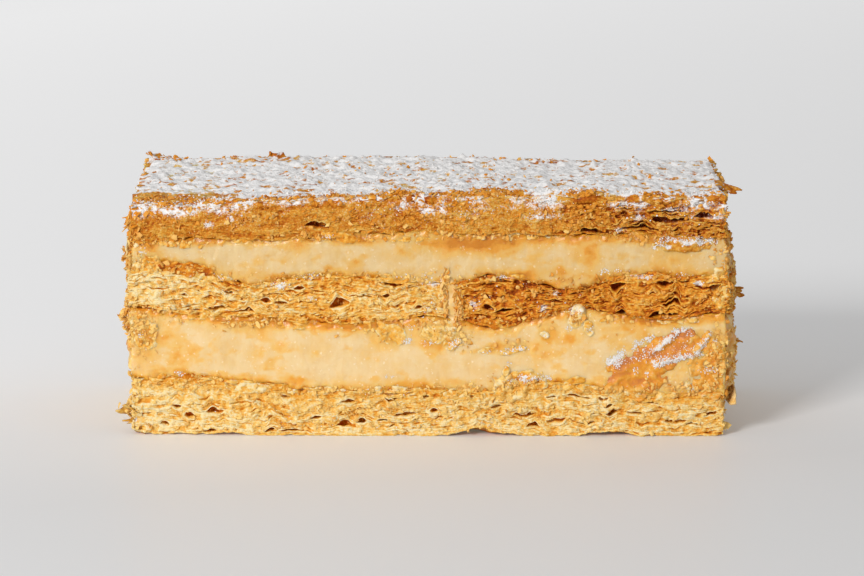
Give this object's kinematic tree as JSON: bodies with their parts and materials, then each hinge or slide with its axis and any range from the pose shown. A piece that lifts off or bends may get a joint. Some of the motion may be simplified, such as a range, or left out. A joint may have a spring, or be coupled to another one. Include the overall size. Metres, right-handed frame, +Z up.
{
  "type": "mille feuille slice",
  "caption": "Oblong slice of layered puff pastry with custard between the layers and icing sugar on top; food to set on a plate or counter.",
  "frame": {"origin": "centre of the underside, at the middle of the bounding box", "axes": "+X along the slice towards its right end, +Y from the front cut to the back cut, +Z up"},
  "size_m": [0.1236, 0.053, 0.0499],
  "materials": {
    "pale_pastry": "matt, flaky, pale yellow",
    "golden_pastry": "matt, flaky, golden",
    "browned_pastry": "matt, crumbly, well browned",
    "custard": "smooth, slightly moist, a little translucent",
    "soaked_leaf": "thin browned leaf, moist and slightly glossy",
    "icing_sugar": "fine white powder"
  },
  "bodies": {
    "root": {"pastry_bottom": "pale_pastry", "custard_lower": "custard", "pastry_middle": "golden_pastry", "custard_upper": "custard", "pastry_top": "browned_pastry", "shard_lower": "soaked_leaf", "shard_upper": "soaked_leaf"}
  },
  "joints": []
}
